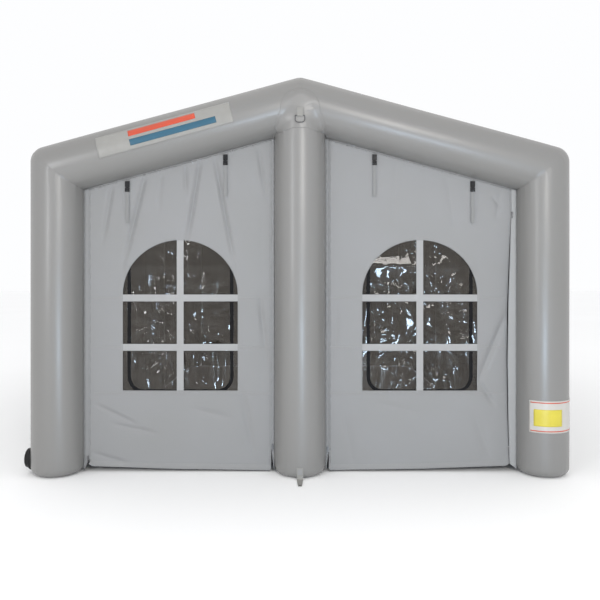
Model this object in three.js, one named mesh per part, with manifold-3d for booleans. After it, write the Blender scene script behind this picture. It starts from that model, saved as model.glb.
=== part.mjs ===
// Inflatable air-beam tent with a gabled roof: three arches of fat PVC tube, a ridge beam and two
// eave beams, a taut roof, plain side and back walls, and two zipped front walls with church-style
// windows.
// Millimetres, +Z up. The front faces -Y, left is -X, and the ground is Z = 0.

import * as THREE from 'three';
import { mergeVertices } from 'three/addons/utils/BufferGeometryUtils.js';
import Module from 'manifold-3d';

const wasm = await Module();
wasm.setup();

// ---------- driving dimensions ----------
const WIDTH = 4000;                      // over the legs
const LENGTH = 6000;                     // over the front and back arches
const TUBE_R = 190;
const SKIN = 1;                          // coated fabric of the air beams
const EAVE_CORNER_Z = 2400;              // outer corner of an arch
const ROOF_SLOPE = THREE.MathUtils.degToRad(15.2);
const GAP = 0.3;                         // between pieces that are welded or sewn together
const TUBE_SIDES = 24;
const FOOT_FLAT_R = 130;                 // each tube foot stands on a disc of this radius
const HORN = 40;                         // a saddle end stops this far short of the crossing axis

const CLOTH = 3;                         // walls and roof, with their hems
const WALL_LIFT = 20;                    // walls end this far above the ground
const WALL_SLACK = 5;                    // between a fixed wall and the tubes round it
const SWING_DROP = 10;                   // a front wall's swing axis below the rafter
const DOOR_INNER_X = 218;                // a front wall's two upright edges, from the middle
const DOOR_OUTER_X = 1576;
const OUTER_FLAP_X = 1580;               // free edge of the fixed flap beside each front leg
const INNER_FLAP_X = 214;                // and of the one on each side of the front post

const WINDOW_X = 897;                    // centre of a front window
const WINDOW_HALF = 430;
const SILL_Z = 606;
const LOWER_BAR = [903, 955];            // glazing bars, bottom and top edges
const UPPER_BAR = [1273, 1325];
const ARCH_RISE = 407;
const MULLION_HALF = 26;
const PANE = 2;                          // clear PVC
const PANE_MARGIN = 30;                  // the pane's sewn edge, past the window opening
const FLAP_HALF = 385;
const FLAP_Z = [600, 1540];
const FLAP_CORNER_R = 108;
const FLAP_SLACK = 2;

// ---------- worked out ----------
const LEG_X = WIDTH / 2 - TUBE_R;
const ARCH_Y = LENGTH / 2 - TUBE_R;
const COS = Math.cos(ROOF_SLOPE);
const SIN = Math.sin(ROOF_SLOPE);
const TAN = SIN / COS;
const EAVE_AXIS_Z = EAVE_CORNER_Z - TUBE_R * (1 - SIN) / COS;
const RIDGE_AXIS_Z = EAVE_AXIS_Z + LEG_X * TAN;
const RAFTER_LENGTH = LEG_X / COS;
const FOOT_FILLET = TUBE_R - FOOT_FLAT_R;
const DOWN = new THREE.Vector3(0, 0, -1);
const SIDES = { left: -1, right: 1 };
const ARCHES = { front: -ARCH_Y, middle: 0, back: ARCH_Y };

const group = new THREE.Group();
group.name = 'air_beam_tent';

// ---------- finishes ----------
const finish = (color, roughness, metalness = 0) =>
  new THREE.MeshStandardMaterial({ color, roughness, metalness });
const tubePvc = () => finish(0xd9d9d6, 0.32);
const wallCloth = () => finish(0xe2e3e6, 0.75);
const clearPvc = () => {
  const clear = finish(0xb9bdbd, 0.12);
  clear.transparent = true;
  clear.opacity = 0.35;
  return clear;
};
const webbing = () => finish(0xdcdcd8, 0.8);
const blackPlastic = () => finish(0x151515, 0.4);
const steel = () => finish(0xb5b6b8, 0.3, 1);

function add(parent, name, geometry, material, position = [0, 0, 0]) {
  const mesh = new THREE.Mesh(geometry, material);
  mesh.name = name;
  mesh.position.set(...position);
  parent.add(mesh);
}

// ---------- solids ----------
function toManifold(geometry) {
  const bare = geometry.clone();
  bare.deleteAttribute('normal');
  bare.deleteAttribute('uv');
  const merged = mergeVertices(bare, 1e-3);
  const index = Array.from(merged.index.array);
  const triangles = [];
  for (let i = 0; i < index.length; i += 3) {
    const corners = index.slice(i, i + 3);
    if (new Set(corners).size === 3) triangles.push(...corners);
  }
  const vertProperties = merged.attributes.position.array;
  const triVerts = Uint32Array.from(triangles);
  return new wasm.Manifold(new wasm.Mesh({ numProp: 3, vertProperties, triVerts }));
}

function toGeometry(solid) {
  const mesh = solid.getMesh();
  const geometry = new THREE.BufferGeometry();
  geometry.setAttribute('position', new THREE.BufferAttribute(mesh.vertProperties, mesh.numProp));
  geometry.setIndex(new THREE.BufferAttribute(mesh.triVerts, 1));
  geometry.computeVertexNormals();
  return geometry;
}

// Takes away everything on the side of a plane that its normal points to.
function cutAway(solid, point, normal, gap = GAP / 2) {
  const size = 4 * LENGTH;
  const block = new THREE.BoxGeometry(size, size, size);
  const away = normal.clone().normalize();
  block.translate(0, 0, size / 2 - gap);
  block.applyQuaternion(new THREE.Quaternion().setFromUnitVectors(DOWN.clone().negate(), away));
  block.translate(...point.toArray());
  return solid.subtract(toManifold(block));
}

// ---------- air beams, each a thin skin that is open where the air passes on ----------
const rafterDirection = (side) => new THREE.Vector3(-side * COS, 0, SIN);
const eavePoint = (side) => new THREE.Vector3(side * LEG_X, 0, EAVE_AXIS_Z);
const ridgePoint = new THREE.Vector3(0, 0, RIDGE_AXIS_Z);
const eaveNormal = (side) => rafterDirection(side).sub(DOWN);
const postNormal = (side) => rafterDirection(side).negate().sub(DOWN);

function footArc(radius, inset) {
  const arc = [];
  const steps = 4;
  for (let i = 0; i <= steps; i += 1) {
    const angle = (i / steps) * Math.PI / 2;
    const out = FOOT_FLAT_R + radius * Math.sin(angle);
    arc.push(new THREE.Vector2(out, inset + radius * (1 - Math.cos(angle))));
  }
  return arc;
}

function standingTube(x, height) {
  const profile = [
    new THREE.Vector2(0, 0),
    ...footArc(FOOT_FILLET, 0),
    new THREE.Vector2(TUBE_R, height),
    new THREE.Vector2(TUBE_R - SKIN, height),
    ...footArc(FOOT_FILLET - SKIN, SKIN).reverse(),
    new THREE.Vector2(0, SKIN),
  ];
  const geometry = new THREE.LatheGeometry(profile, TUBE_SIDES);
  geometry.rotateX(Math.PI / 2);
  geometry.translate(x, 0, 0);
  return toManifold(geometry);
}

// A tube along +Y from start to end.
function openTube(start, end) {
  const profile = [
    new THREE.Vector2(TUBE_R, start),
    new THREE.Vector2(TUBE_R, end),
    new THREE.Vector2(TUBE_R - SKIN, end),
    new THREE.Vector2(TUBE_R - SKIN, start),
    new THREE.Vector2(TUBE_R, start),
  ];
  return new THREE.LatheGeometry(profile, TUBE_SIDES);
}

// The room that a tube and its gap take up, along +Y and centred on the origin.
const filledTube = () =>
  new THREE.CylinderGeometry(TUBE_R + GAP, TUBE_R + GAP, 2 * LENGTH, TUBE_SIDES);

function alongRafter(geometry, side) {
  geometry.rotateX(Math.PI / 2);
  geometry.rotateY(-side * (Math.PI / 2 - ROOF_SLOPE));
  geometry.translate(...eavePoint(side).toArray());
  return toManifold(geometry);
}

function beamAxis(geometry, point) {
  geometry.translate(point.x, 0, point.z);
  return toManifold(geometry);
}

function leg(side, middle) {
  let solid = standingTube(side * LEG_X, EAVE_CORNER_Z + TUBE_R);
  solid = cutAway(solid, eavePoint(side), eaveNormal(side));
  if (!middle) return solid;
  solid = cutAway(solid, eavePoint(side), DOWN.clone().negate(), HORN);
  return solid.subtract(beamAxis(filledTube(), eavePoint(side)));
}

function rafter(side, middle) {
  const direction = rafterDirection(side);
  let solid = alongRafter(openTube(-2 * TUBE_R, RAFTER_LENGTH + 2 * TUBE_R), side);
  solid = cutAway(solid, eavePoint(side), eaveNormal(side).negate());
  solid = cutAway(solid, ridgePoint, new THREE.Vector3(-side, 0, 0));
  if (!middle) return cutAway(solid, ridgePoint, postNormal(side).negate());
  solid = cutAway(solid, eavePoint(side), direction.clone().negate(), HORN);
  solid = cutAway(solid, ridgePoint, direction, HORN);
  solid = solid.subtract(beamAxis(filledTube(), eavePoint(side)));
  return solid.subtract(beamAxis(filledTube(), ridgePoint));
}

function post() {
  let solid = standingTube(0, RIDGE_AXIS_Z);
  for (const side of Object.values(SIDES)) {
    solid = cutAway(solid, ridgePoint, postNormal(side));
  }
  return solid;
}

// The outside of an arch's tubes near one beam, as a solid that the beam's end is cut by.
function archRoom(y, upright, sides) {
  const standing = filledTube();
  standing.rotateX(Math.PI / 2);
  standing.translate(upright.x, 0, 0);
  let room = cutAway(toManifold(standing), upright, DOWN.clone().negate(), 0);
  for (const side of sides) {
    let sloping = alongRafter(filledTube(), side);
    sloping = cutAway(sloping, ridgePoint, new THREE.Vector3(-side, 0, 0), 0);
    room = room.add(sloping);
  }
  const geometry = toGeometry(room);
  geometry.translate(0, y, 0);
  return toManifold(geometry);
}

function beam(point, sides) {
  const reach = ARCH_Y - HORN;
  let solid = beamAxis(openTube(-reach, reach), point);
  for (const y of [ARCHES.front, ARCHES.back]) {
    solid = solid.subtract(archRoom(y, point, sides));
  }
  return solid;
}

for (const [place, y] of Object.entries(ARCHES)) {
  const arch = new THREE.Group();
  const middle = place === 'middle';
  arch.position.y = y;
  for (const [hand, side] of Object.entries(SIDES)) {
    add(arch, `${place}_${hand}_leg`, toGeometry(leg(side, middle)), tubePvc());
    add(arch, `${place}_${hand}_rafter`, toGeometry(rafter(side, middle)), tubePvc());
  }
  if (!middle) add(arch, `${place}_post`, toGeometry(post()), tubePvc());
  group.add(arch);
}
add(group, 'ridge_beam', toGeometry(beam(ridgePoint, [-1, 1])), tubePvc());
for (const [hand, side] of Object.entries(SIDES)) {
  add(group, `${hand}_eave_beam`, toGeometry(beam(eavePoint(side), [side])), tubePvc());
}

// ---------- flat cloth: outlines are drawn across and up, then stood in place ----------
// The plate is centred on the plane Y = 0 and faces along it.
function plate(shape, thickness) {
  const settings = { depth: thickness, bevelEnabled: false };
  const geometry = new THREE.ExtrudeGeometry(shape, settings);
  geometry.translate(0, 0, -thickness / 2);
  geometry.rotateX(Math.PI / 2);
  return geometry;
}

function outline(points) {
  const corners = points.map(([x, z]) => new THREE.Vector2(x, z));
  if (THREE.ShapeUtils.isClockWise(corners)) corners.reverse();
  return new THREE.Shape(corners);
}

// Points round part of an ellipse.
function arc(x, z, width, height, from, to, steps = 14) {
  const points = [];
  for (let i = 0; i <= steps; i += 1) {
    const angle = from + (to - from) * i / steps;
    points.push([x + width * Math.cos(angle), z + height * Math.sin(angle)]);
  }
  return points;
}

const rafterUnderside = (x) => RIDGE_AXIS_Z - TUBE_R / COS - Math.abs(x) * TAN;

// A wall under a rafter, between two distances from the middle.
function gableWall(side, inner, outer, drop) {
  return outline([
    [side * inner, WALL_LIFT],
    [side * outer, WALL_LIFT],
    [side * outer, rafterUnderside(outer) - drop],
    [side * inner, rafterUnderside(inner) - drop],
  ]);
}

// Six lights: two columns of two squares with a quarter of an ellipse above.
function windowLights(centre) {
  const lights = [];
  const turn = Math.acos(MULLION_HALF / WINDOW_HALF);
  for (const side of Object.values(SIDES)) {
    const inner = centre + side * MULLION_HALF;
    const outer = centre + side * WINDOW_HALF;
    const rows = [[SILL_Z, LOWER_BAR[0]], [LOWER_BAR[1], UPPER_BAR[0]]];
    for (const [low, high] of rows) {
      lights.push(outline([[inner, low], [outer, low], [outer, high], [inner, high]]));
    }
    const quarter = arc(centre, UPPER_BAR[1], side * WINDOW_HALF, ARCH_RISE, 0, turn);
    lights.push(outline([[inner, UPPER_BAR[1]], ...quarter]));
  }
  return lights;
}

function wallWithWindow(shape, centre) {
  let wall = toManifold(plate(shape, CLOTH));
  for (const light of windowLights(centre)) {
    wall = wall.subtract(toManifold(plate(light, 2 * CLOTH)));
  }
  return toGeometry(wall);
}

function windowOutline(centre) {
  const half = WINDOW_HALF + PANE_MARGIN;
  const rise = ARCH_RISE + PANE_MARGIN;
  return outline([
    [centre - half, SILL_Z - PANE_MARGIN],
    [centre + half, SILL_Z - PANE_MARGIN],
    ...arc(centre, UPPER_BAR[1], half, rise, 0, Math.PI, 28),
  ]);
}

// The part of a window inside its U-shaped zip, grown by a slack all round.
function flapOutline(centre, slack) {
  const half = FLAP_HALF + slack;
  const low = FLAP_Z[0] - slack;
  const high = FLAP_Z[1] + slack;
  const radius = FLAP_CORNER_R + slack;
  const corner = (x, from) => arc(x, low + radius, radius, radius, from, from + Math.PI / 2, 6);
  return outline([
    [centre - half, high],
    ...corner(centre - half + radius, Math.PI),
    ...corner(centre + half - radius, 1.5 * Math.PI),
    [centre + half, high],
  ]);
}

// ---------- front walls, their windows and the flaps they zip to ----------
const FRONT_Y = ARCHES.front;
const PANE_SETBACK = CLOTH / 2 + 1 + PANE / 2;     // from a wall's middle to its pane's middle

for (const [hand, side] of Object.entries(SIDES)) {
  const centre = side * WINDOW_X;
  const door = gableWall(side, DOOR_INNER_X, DOOR_OUTER_X, SWING_DROP + 2);
  const swinging = wallWithWindow(door, centre);
  add(group, `front_${hand}_wall`, swinging, wallCloth(), [0, FRONT_Y, 0]);

  const behind = [0, FRONT_Y + PANE_SETBACK, 0];
  const rim = windowOutline(centre);
  rim.holes.push(flapOutline(centre, FLAP_SLACK));
  add(group, `front_${hand}_window_rim`, plate(rim, PANE), clearPvc(), behind);
  const flap = flapOutline(centre, 0);
  add(group, `front_${hand}_window_flap`, plate(flap, PANE), clearPvc(), behind);

  const flaps = {
    inner: [TUBE_R + GAP, INNER_FLAP_X],
    outer: [OUTER_FLAP_X, LEG_X - TUBE_R - GAP],
  };
  for (const [where, [near, far]] of Object.entries(flaps)) {
    const zipFlap = plate(gableWall(side, near, far, SWING_DROP + 2), CLOTH);
    add(group, `front_${hand}_${where}_zip_flap`, zipFlap, wallCloth(), [0, FRONT_Y, 0]);
  }

  const inner = TUBE_R + WALL_SLACK;
  const outer = LEG_X - TUBE_R - WALL_SLACK;
  const back = plate(gableWall(side, inner, outer, WALL_SLACK), CLOTH);
  add(group, `back_${hand}_wall`, back, wallCloth(), [0, ARCHES.back, 0]);
}

// ---------- side walls, one in each bay ----------
const BAY_HALF = ARCH_Y / 2 - TUBE_R - WALL_SLACK;
const SIDE_TOP_Z = EAVE_AXIS_Z - TUBE_R - WALL_SLACK;

for (const [hand, side] of Object.entries(SIDES)) {
  for (const [bay, along] of [['front', -1], ['back', 1]]) {
    const stood = new THREE.Group();
    stood.position.set(side * LEG_X, along * ARCH_Y / 2, 0);
    stood.rotation.z = side * Math.PI / 2;
    const wall = new THREE.BoxGeometry(2 * BAY_HALF, CLOTH, SIDE_TOP_Z - WALL_LIFT);
    const middle = [0, 0, (SIDE_TOP_Z + WALL_LIFT) / 2];
    add(stood, `${hand}_${bay}_wall`, wall, wallCloth(), middle);
    group.add(stood);
  }
}

// ---------- roof: one sheet on each slope, laid over the tubes ----------
const ROOF_OVERHANG = 40;                // past the eave beam's crest

for (const [hand, side] of Object.entries(SIDES)) {
  const low = TUBE_R + GAP;
  const high = low + CLOTH;
  const place = (along, up) => [
    side * (LEG_X - along * COS + up * SIN),
    EAVE_AXIS_Z + along * SIN + up * COS,
  ];
  const atRidge = (up) => RAFTER_LENGTH + up * TAN - GAP;
  const section = outline([
    place(-ROOF_OVERHANG, low),
    place(atRidge(low), low),
    place(atRidge(high), high),
    place(-ROOF_OVERHANG, high),
  ]);
  add(group, `${hand}_roof_sheet`, plate(section, 2 * ARCH_Y), wallCloth());
}

// ---------- zip sliders, on the front of the four front zips ----------
const SLIDER_BODY = [12, 8, 22];
const SLIDER_PULL = [8, 2, 34];
const SLIDERS = {
  left_outer_zip_slider: [-1585, 108],
  left_inner_zip_slider: [-206, 198],
  right_inner_zip_slider: [206, 176],
  right_outer_zip_slider: [1585, 1933],
};

function slider() {
  const body = new THREE.BoxGeometry(...SLIDER_BODY);
  body.translate(0, -CLOTH / 2 - GAP - SLIDER_BODY[1] / 2, 0);
  const pull = new THREE.BoxGeometry(...SLIDER_PULL);
  const pullY = -CLOTH / 2 - GAP - SLIDER_BODY[1] + SLIDER_PULL[1] / 2 - 1;
  pull.translate(0, pullY, -SLIDER_PULL[2] / 2 - 4);
  return toGeometry(toManifold(body).add(toManifold(pull)));
}

for (const [name, [x, z]] of Object.entries(SLIDERS)) {
  add(group, name, slider(), steel(), [x, FRONT_Y, z]);
}

// ---------- roll-up ties: side-release buckles with a webbing tail ----------
const BUCKLE_X = { inner: 557, outer: 1290 };
const BUCKLE_TOP = 14;                   // below the swing axis, measured at the higher corner
const SOCKET = [33, 12, 42];
const SOCKET_ROOM = [26, 7, 28];         // the hollow that the plug's prongs enter
const PLUG_BASE = [33, 10, 30];
const PLUG_GAP = 5;                      // showing between the two halves
const PRONG = [4, 6, 30];
const STRAP = [25, 1.5, 235];
const BUCKLE_Y = FRONT_Y - CLOTH / 2 - 2 - SOCKET[1] / 2;

const block = (size, x, y, z) => {
  const geometry = new THREE.BoxGeometry(...size);
  geometry.translate(x, y, z);
  return toManifold(geometry);
};

function buckleSocket() {
  const shell = block(SOCKET, 0, 0, -SOCKET[2] / 2);
  const reach = SOCKET_ROOM[2];
  const room = block([SOCKET_ROOM[0], SOCKET_ROOM[1], 2 * reach], 0, 0, -SOCKET[2]);
  return toGeometry(shell.subtract(room));
}

function bucklePlug() {
  const top = -SOCKET[2] - PLUG_GAP;
  let plug = block(PLUG_BASE, 0, 0, top - PLUG_BASE[2] / 2);
  for (const x of [-10, 0, 10]) {
    plug = plug.add(block(PRONG, x, 0, top + PRONG[2] / 2 - 1));
  }
  const slot = block([STRAP[0] + 2, 2 * PLUG_BASE[1], 5], 0, 0, top - PLUG_BASE[2] + 8);
  return toGeometry(plug.subtract(slot));
}

const STRAP_TOP = -SOCKET[2] - PLUG_GAP - PLUG_BASE[2] - 1;

for (const [hand, side] of Object.entries(SIDES)) {
  for (const [where, distance] of Object.entries(BUCKLE_X)) {
    const name = `${hand}_${where}`;
    const drop = SWING_DROP + BUCKLE_TOP + SOCKET[0] / 2 * TAN;
    const place = [side * distance, BUCKLE_Y, rafterUnderside(distance) - drop];
    add(group, `${name}_buckle_socket`, buckleSocket(), blackPlastic(), place);
    add(group, `${name}_buckle_plug`, bucklePlug(), blackPlastic(), place);
    const tail = new THREE.BoxGeometry(...STRAP);
    tail.translate(0, 0, STRAP_TOP - STRAP[2] / 2);
    add(group, `${name}_tie_strap`, tail, webbing(), place);
  }
}

// ---------- lifting ring on the front of the ridge ----------
const RING_WIDTH = 75;
const RING_HEIGHT = 54;
const RING_WIRE = 6;
const RING_BEVEL = 1.5;
const LOOP_BORE_R = 4.4;
const LOOP_R = 6.4;
const TAB_WIDTH = 42;
const TAB_HEIGHT = 62;
const TAB_THICKNESS = 3;
const RING_BAR_Z = 2615;
const RING_BAR_Y = -LENGTH / 2 - GAP - LOOP_R;

// A D with its straight bar along the top, drawn about the bar's middle.
function dOutline(inset) {
  const half = RING_WIDTH / 2 - inset;
  const top = RING_WIRE / 2 - inset;
  const low = RING_HEIGHT - RING_WIRE / 2 - inset;
  const bow = arc(0, -RING_WIRE, half, low - RING_WIRE, Math.PI, 2 * Math.PI);
  return outline([[half, top], [-half, top], ...bow]);
}

function ring() {
  const shape = dOutline(RING_BEVEL);
  shape.holes.push(dOutline(RING_WIRE - RING_BEVEL));
  const settings = {
    depth: RING_WIRE - 2 * RING_BEVEL,
    bevelThickness: RING_BEVEL,
    bevelSize: RING_BEVEL,
    bevelSegments: 2,
  };
  const geometry = new THREE.ExtrudeGeometry(shape, settings);
  geometry.translate(0, 0, -settings.depth / 2);
  geometry.rotateX(Math.PI / 2);
  return geometry;
}

// A loop of webbing round the ring's bar, with its two layers sewn up the tube above.
function ringTab() {
  const turn = Math.acos(1 - TAB_THICKNESS / LOOP_R);
  const section = outline([
    [LOOP_R, TAB_HEIGHT],
    [LOOP_R - TAB_THICKNESS, TAB_HEIGHT],
    ...arc(0, 0, LOOP_R, LOOP_R, turn, 2 * Math.PI),
  ]);
  section.holes.push(outline(arc(0, 0, LOOP_BORE_R, LOOP_BORE_R, 0, 2 * Math.PI).slice(1)));
  const geometry = plate(section, TAB_WIDTH);
  geometry.rotateZ(Math.PI / 2);
  return geometry;
}

add(group, 'lifting_ring', ring(), steel(), [0, RING_BAR_Y, RING_BAR_Z]);
add(group, 'lifting_ring_tab', ringTab(), webbing(), [0, RING_BAR_Y, RING_BAR_Z]);

// ---------- anchor straps, sewn to the foot of each post and lying out on the ground ----------
const ANCHOR_WIDTH = 50;
const ANCHOR_THICKNESS = 3;
const ANCHOR_RISE = 86;
const ANCHOR_REACH = 150;

function anchorStrap(direction) {
  const face = LENGTH / 2 + GAP;
  const thick = ANCHOR_THICKNESS;
  const section = outline([
    [direction * face, ANCHOR_RISE],
    [direction * (face + thick), ANCHOR_RISE],
    [direction * (face + thick + 12), thick + 12],
    [direction * (face + thick + 30), thick],
    [direction * (face + ANCHOR_REACH), thick],
    [direction * (face + ANCHOR_REACH), 0],
    [direction * (face + 28), 0],
    [direction * (face + 9), 12],
  ]);
  const geometry = plate(section, ANCHOR_WIDTH);
  geometry.rotateZ(Math.PI / 2);
  return geometry;
}

add(group, 'front_anchor_strap', anchorStrap(-1), webbing());
add(group, 'back_anchor_strap', anchorStrap(1), webbing());

// ---------- valves, low on the outside of two legs ----------
const VALVE_R = 87;
const VALVE_PROUD = 45;
const VALVE_Z = 105;
const INLET_BORE_R = 62;
const CAP_R = 59;
const CAP_PROUD = 40;
const GRIP = [CAP_PROUD / 2, 90, 12];

// The tube's outside and its gap, standing at the origin.
function legRoom() {
  const profile = [
    new THREE.Vector2(0, -GAP),
    ...footArc(FOOT_FILLET + GAP, -GAP),
    new THREE.Vector2(TUBE_R + GAP, EAVE_CORNER_Z),
    new THREE.Vector2(0, EAVE_CORNER_Z),
  ];
  const geometry = new THREE.LatheGeometry(profile, TUBE_SIDES);
  geometry.rotateX(Math.PI / 2);
  return toManifold(geometry);
}

// A round piece along X whose outer end is a distance out from the tube's side.
function outward(radius, from, to, side) {
  const geometry = new THREE.CylinderGeometry(radius, radius, to - from, 32);
  geometry.rotateZ(Math.PI / 2);
  geometry.translate(side * (TUBE_R + (from + to) / 2), 0, VALVE_Z);
  return toManifold(geometry);
}

function inletBody(side) {
  const ring = outward(VALVE_R, -50, VALVE_PROUD - 8, side);
  const bore = outward(INLET_BORE_R, -80, VALVE_PROUD, side);
  return toGeometry(ring.subtract(bore).subtract(legRoom()));
}

function inletCap(side) {
  const plug = outward(CAP_R, 2, VALVE_PROUD - 12, side);
  const grip = block(GRIP, side * (TUBE_R + VALVE_PROUD - GRIP[0] / 2), 0, VALVE_Z);
  return toGeometry(plug.add(grip));
}

function reliefValve(side) {
  const flange = outward(VALVE_R, -50, 14, side);
  const dome = outward(CAP_R, 0, VALVE_PROUD, side);
  return toGeometry(flange.add(dome).subtract(legRoom()));
}

const atLeftLeg = [-LEG_X, ARCHES.front, 0];
const atRightLeg = [LEG_X, ARCHES.back, 0];
add(group, 'inlet_body', inletBody(-1), blackPlastic(), atLeftLeg);
add(group, 'inlet_cap', inletCap(-1), blackPlastic(), atLeftLeg);
add(group, 'relief_valve', reliefValve(1), blackPlastic(), atRightLeg);

export default group;
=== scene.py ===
import math
import random

import bpy
import numpy as np
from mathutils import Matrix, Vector, geometry


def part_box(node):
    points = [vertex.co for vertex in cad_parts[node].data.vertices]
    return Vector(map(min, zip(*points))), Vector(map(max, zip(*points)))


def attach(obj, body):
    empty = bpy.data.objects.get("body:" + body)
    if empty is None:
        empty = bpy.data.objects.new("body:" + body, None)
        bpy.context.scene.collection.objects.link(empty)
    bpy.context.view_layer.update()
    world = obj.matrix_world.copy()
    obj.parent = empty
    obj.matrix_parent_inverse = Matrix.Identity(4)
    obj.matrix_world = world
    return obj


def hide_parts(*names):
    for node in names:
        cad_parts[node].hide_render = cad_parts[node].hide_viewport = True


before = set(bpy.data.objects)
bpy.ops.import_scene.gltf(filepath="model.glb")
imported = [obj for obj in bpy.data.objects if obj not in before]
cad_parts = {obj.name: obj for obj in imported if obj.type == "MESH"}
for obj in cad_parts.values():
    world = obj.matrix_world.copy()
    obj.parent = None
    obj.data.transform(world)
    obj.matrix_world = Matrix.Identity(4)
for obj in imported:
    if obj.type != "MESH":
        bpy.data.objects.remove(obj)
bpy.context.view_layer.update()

# ---------- driving sizes, from the CAD boxes ----------
LEG_LOW, LEG_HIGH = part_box("front_left_leg")
R = (LEG_HIGH.x - LEG_LOW.x) / 2
LEG_X = -(LEG_HIGH.x + LEG_LOW.x) / 2
ARCH_Y = -(LEG_HIGH.y + LEG_LOW.y) / 2
SLOPE = math.radians(15.2)
COS, SIN, TAN = math.cos(SLOPE), math.sin(SLOPE), math.tan(SLOPE)
RIDGE_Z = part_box("front_left_rafter")[1].z - R / COS
EAVE_Z = RIDGE_Z - LEG_X * TAN
WALL_LOW, WALL_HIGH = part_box("front_right_wall")
SIDES = {"left": -1, "right": 1}
ARCHES = {"front": -ARCH_Y, "middle": 0.0, "back": ARCH_Y}
FOOT_FLAT = 0.13
FOOT_FILLET = R - FOOT_FLAT
AROUND = 120                              # points round a tube

WINDOW_X = 0.897
WINDOW_HALF = 0.430
MULLION_HALF = 0.026
ROWS = [(0.606, 0.903), (0.955, 1.273)]   # the square lights, bottom and top
SPRING_Z = 1.325
ARCH_RISE = 0.407
ZIP_TOP = 1.541                           # the line that a window flap turns about
UP = np.array([0.0, 0.0, 1.0])
ALONG_Y = np.array([0.0, 1.0, 0.0])



def add(name, data):
    """A new object in the scene."""
    made = bpy.data.objects.new(name, data)
    bpy.context.scene.collection.objects.link(made)
    return made


# ---------- camera ----------
CAMERA_GAP = 4.5                          # from the front of the tent
EYE_Z = 1.45
camera_data = bpy.data.cameras.new("camera")
camera = add("camera", camera_data)
bpy.context.scene.camera = camera
camera_data.lens = 37.6
camera_data.sensor_width = 36.0
camera_data.shift_y = -0.037
camera_data.clip_end = 200.0
camera.location = (0.0, -(ARCH_Y + R) - CAMERA_GAP, EYE_Z)
camera.rotation_euler = (math.radians(90.0), 0.0, 0.0)


# ---------- materials ----------
class Paint:
    """A Principled material being wired up."""

    def __init__(self, name, color, roughness, metallic=0.0):
        self.material = bpy.data.materials.new(name)
        self.material.use_nodes = True
        self.nodes = self.material.node_tree.nodes
        self.links = self.material.node_tree.links
        self.shader = self.nodes["Principled BSDF"]
        self.color = color
        self.set(Base_Color=(*color, 1.0), Roughness=roughness, Metallic=metallic)
        self.place = self.node("TexCoord").outputs["Object"]
        self.bump_in = None

    def node(self, kind, vector=None, **values):
        made = self.nodes.new(f"ShaderNode{kind}")
        for name, value in values.items():
            made.inputs[name].default_value = value
        if vector is not None:
            self.links.new(vector, made.inputs["Vector"])
        return made

    def noise(self, scale, detail=3.0, stretch=(1.0, 1.0, 1.0)):
        place = self.node("Mapping", self.place, Scale=stretch).outputs["Vector"]
        return self.node("TexNoise", place, Scale=scale, Detail=detail).outputs["Fac"]

    def wave(self, scale, direction):
        node = self.node("TexWave", self.place, Scale=scale, Distortion=0.4)
        node.bands_direction = direction
        return node.outputs["Fac"]

    def ramp(self, factor, stops):
        node = self.node("ValToRGB")
        while len(node.color_ramp.elements) < len(stops):
            node.color_ramp.elements.new(0.5)
        for element, (position, color) in zip(node.color_ramp.elements, stops):
            element.position = position
            element.color = (*color, 1.0)
        self.links.new(factor, node.inputs["Fac"])
        return node.outputs["Color"]

    def blotch(self, scale, amount, cool=0.0):
        """The colour drifts darker and lighter by amount, over patches of 1/scale metres."""
        dark, light = ([c * (1.0 + change) for c in self.color] for change in (-amount, amount))
        light[2] *= 1.0 + cool
        tint = self.ramp(self.noise(scale), [(0.3, dark), (0.7, light)])
        self.links.new(tint, self.shader.inputs["Base Color"])
        return self

    def rough(self, scale, low, high):
        grey = self.ramp(self.noise(scale), [(0.35, [low] * 3), (0.65, [high] * 3)])
        self.links.new(grey, self.shader.inputs["Roughness"])
        return self

    def bump(self, height, strength, distance):
        node = self.node("Bump", Strength=strength, Distance=distance)
        self.links.new(height, node.inputs["Height"])
        if self.bump_in is not None:
            self.links.new(self.bump_in, node.inputs["Normal"])
        self.bump_in = node.outputs["Normal"]
        self.links.new(self.bump_in, self.shader.inputs["Normal"])
        return self

    def set(self, **values):
        for name, value in values.items():
            self.shader.inputs[name.replace("_", " ")].default_value = value
        return self


def woven(name, color, roughness, pitch, amount=0.03, cool=0.0):
    paint = Paint(name, color, roughness).blotch(1.7, amount, cool)
    paint.bump(paint.wave(1.0 / pitch, "Z"), 0.12, 0.0004)
    paint.bump(paint.wave(1.0 / pitch, "DIAGONAL"), 0.10, 0.0004)
    paint.bump(paint.noise(55.0, 2.0), 0.10, 0.002)
    return paint.set(Sheen_Weight=0.12)


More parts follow.
